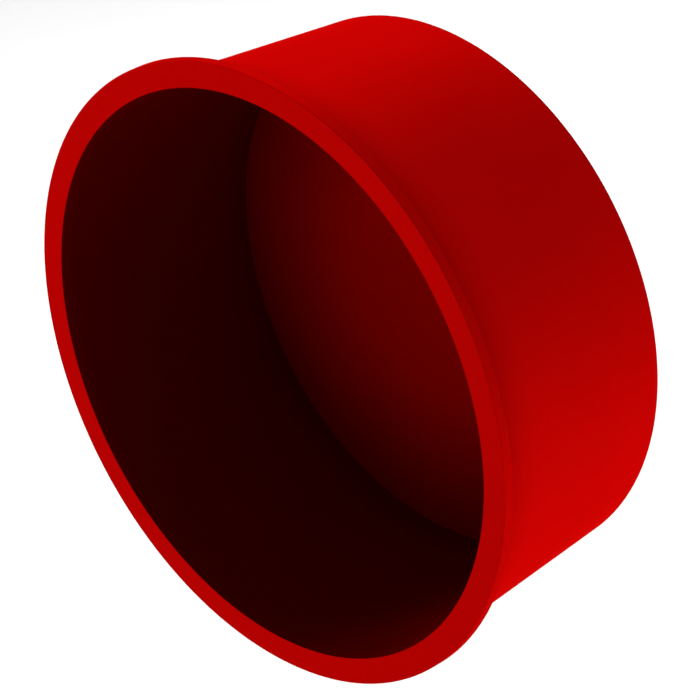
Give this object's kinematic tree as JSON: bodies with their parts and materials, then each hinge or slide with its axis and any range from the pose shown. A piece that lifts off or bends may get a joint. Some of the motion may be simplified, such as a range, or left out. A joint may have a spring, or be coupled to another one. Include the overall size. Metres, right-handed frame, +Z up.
{
  "type": "pipe end blanking cup",
  "caption": "Red sheet-steel blanking cup with a flat lip: the tapered cup goes into a pipe and the lip covers the pipe's end.",
  "frame": {"origin": "centre of the lip's back face, where the pipe's end comes to rest", "axes": "+Y along the cup's axis, from the mouth to the closed end and into the pipe; +Z up"},
  "size_m": [0.1684, 0.0655, 0.1684],
  "materials": {
    "sheet_coat": "semi-gloss powder coat with a fine orange peel",
    "weld_coat": "the same coat over dressed weld beads"
  },
  "bodies": {
    "root": {"lip_ring": "sheet_coat", "tapered_shell": "sheet_coat", "end_plate": "sheet_coat", "lip_weld": "weld_coat", "end_weld": "weld_coat", "seam_weld": "weld_coat"}
  },
  "joints": []
}
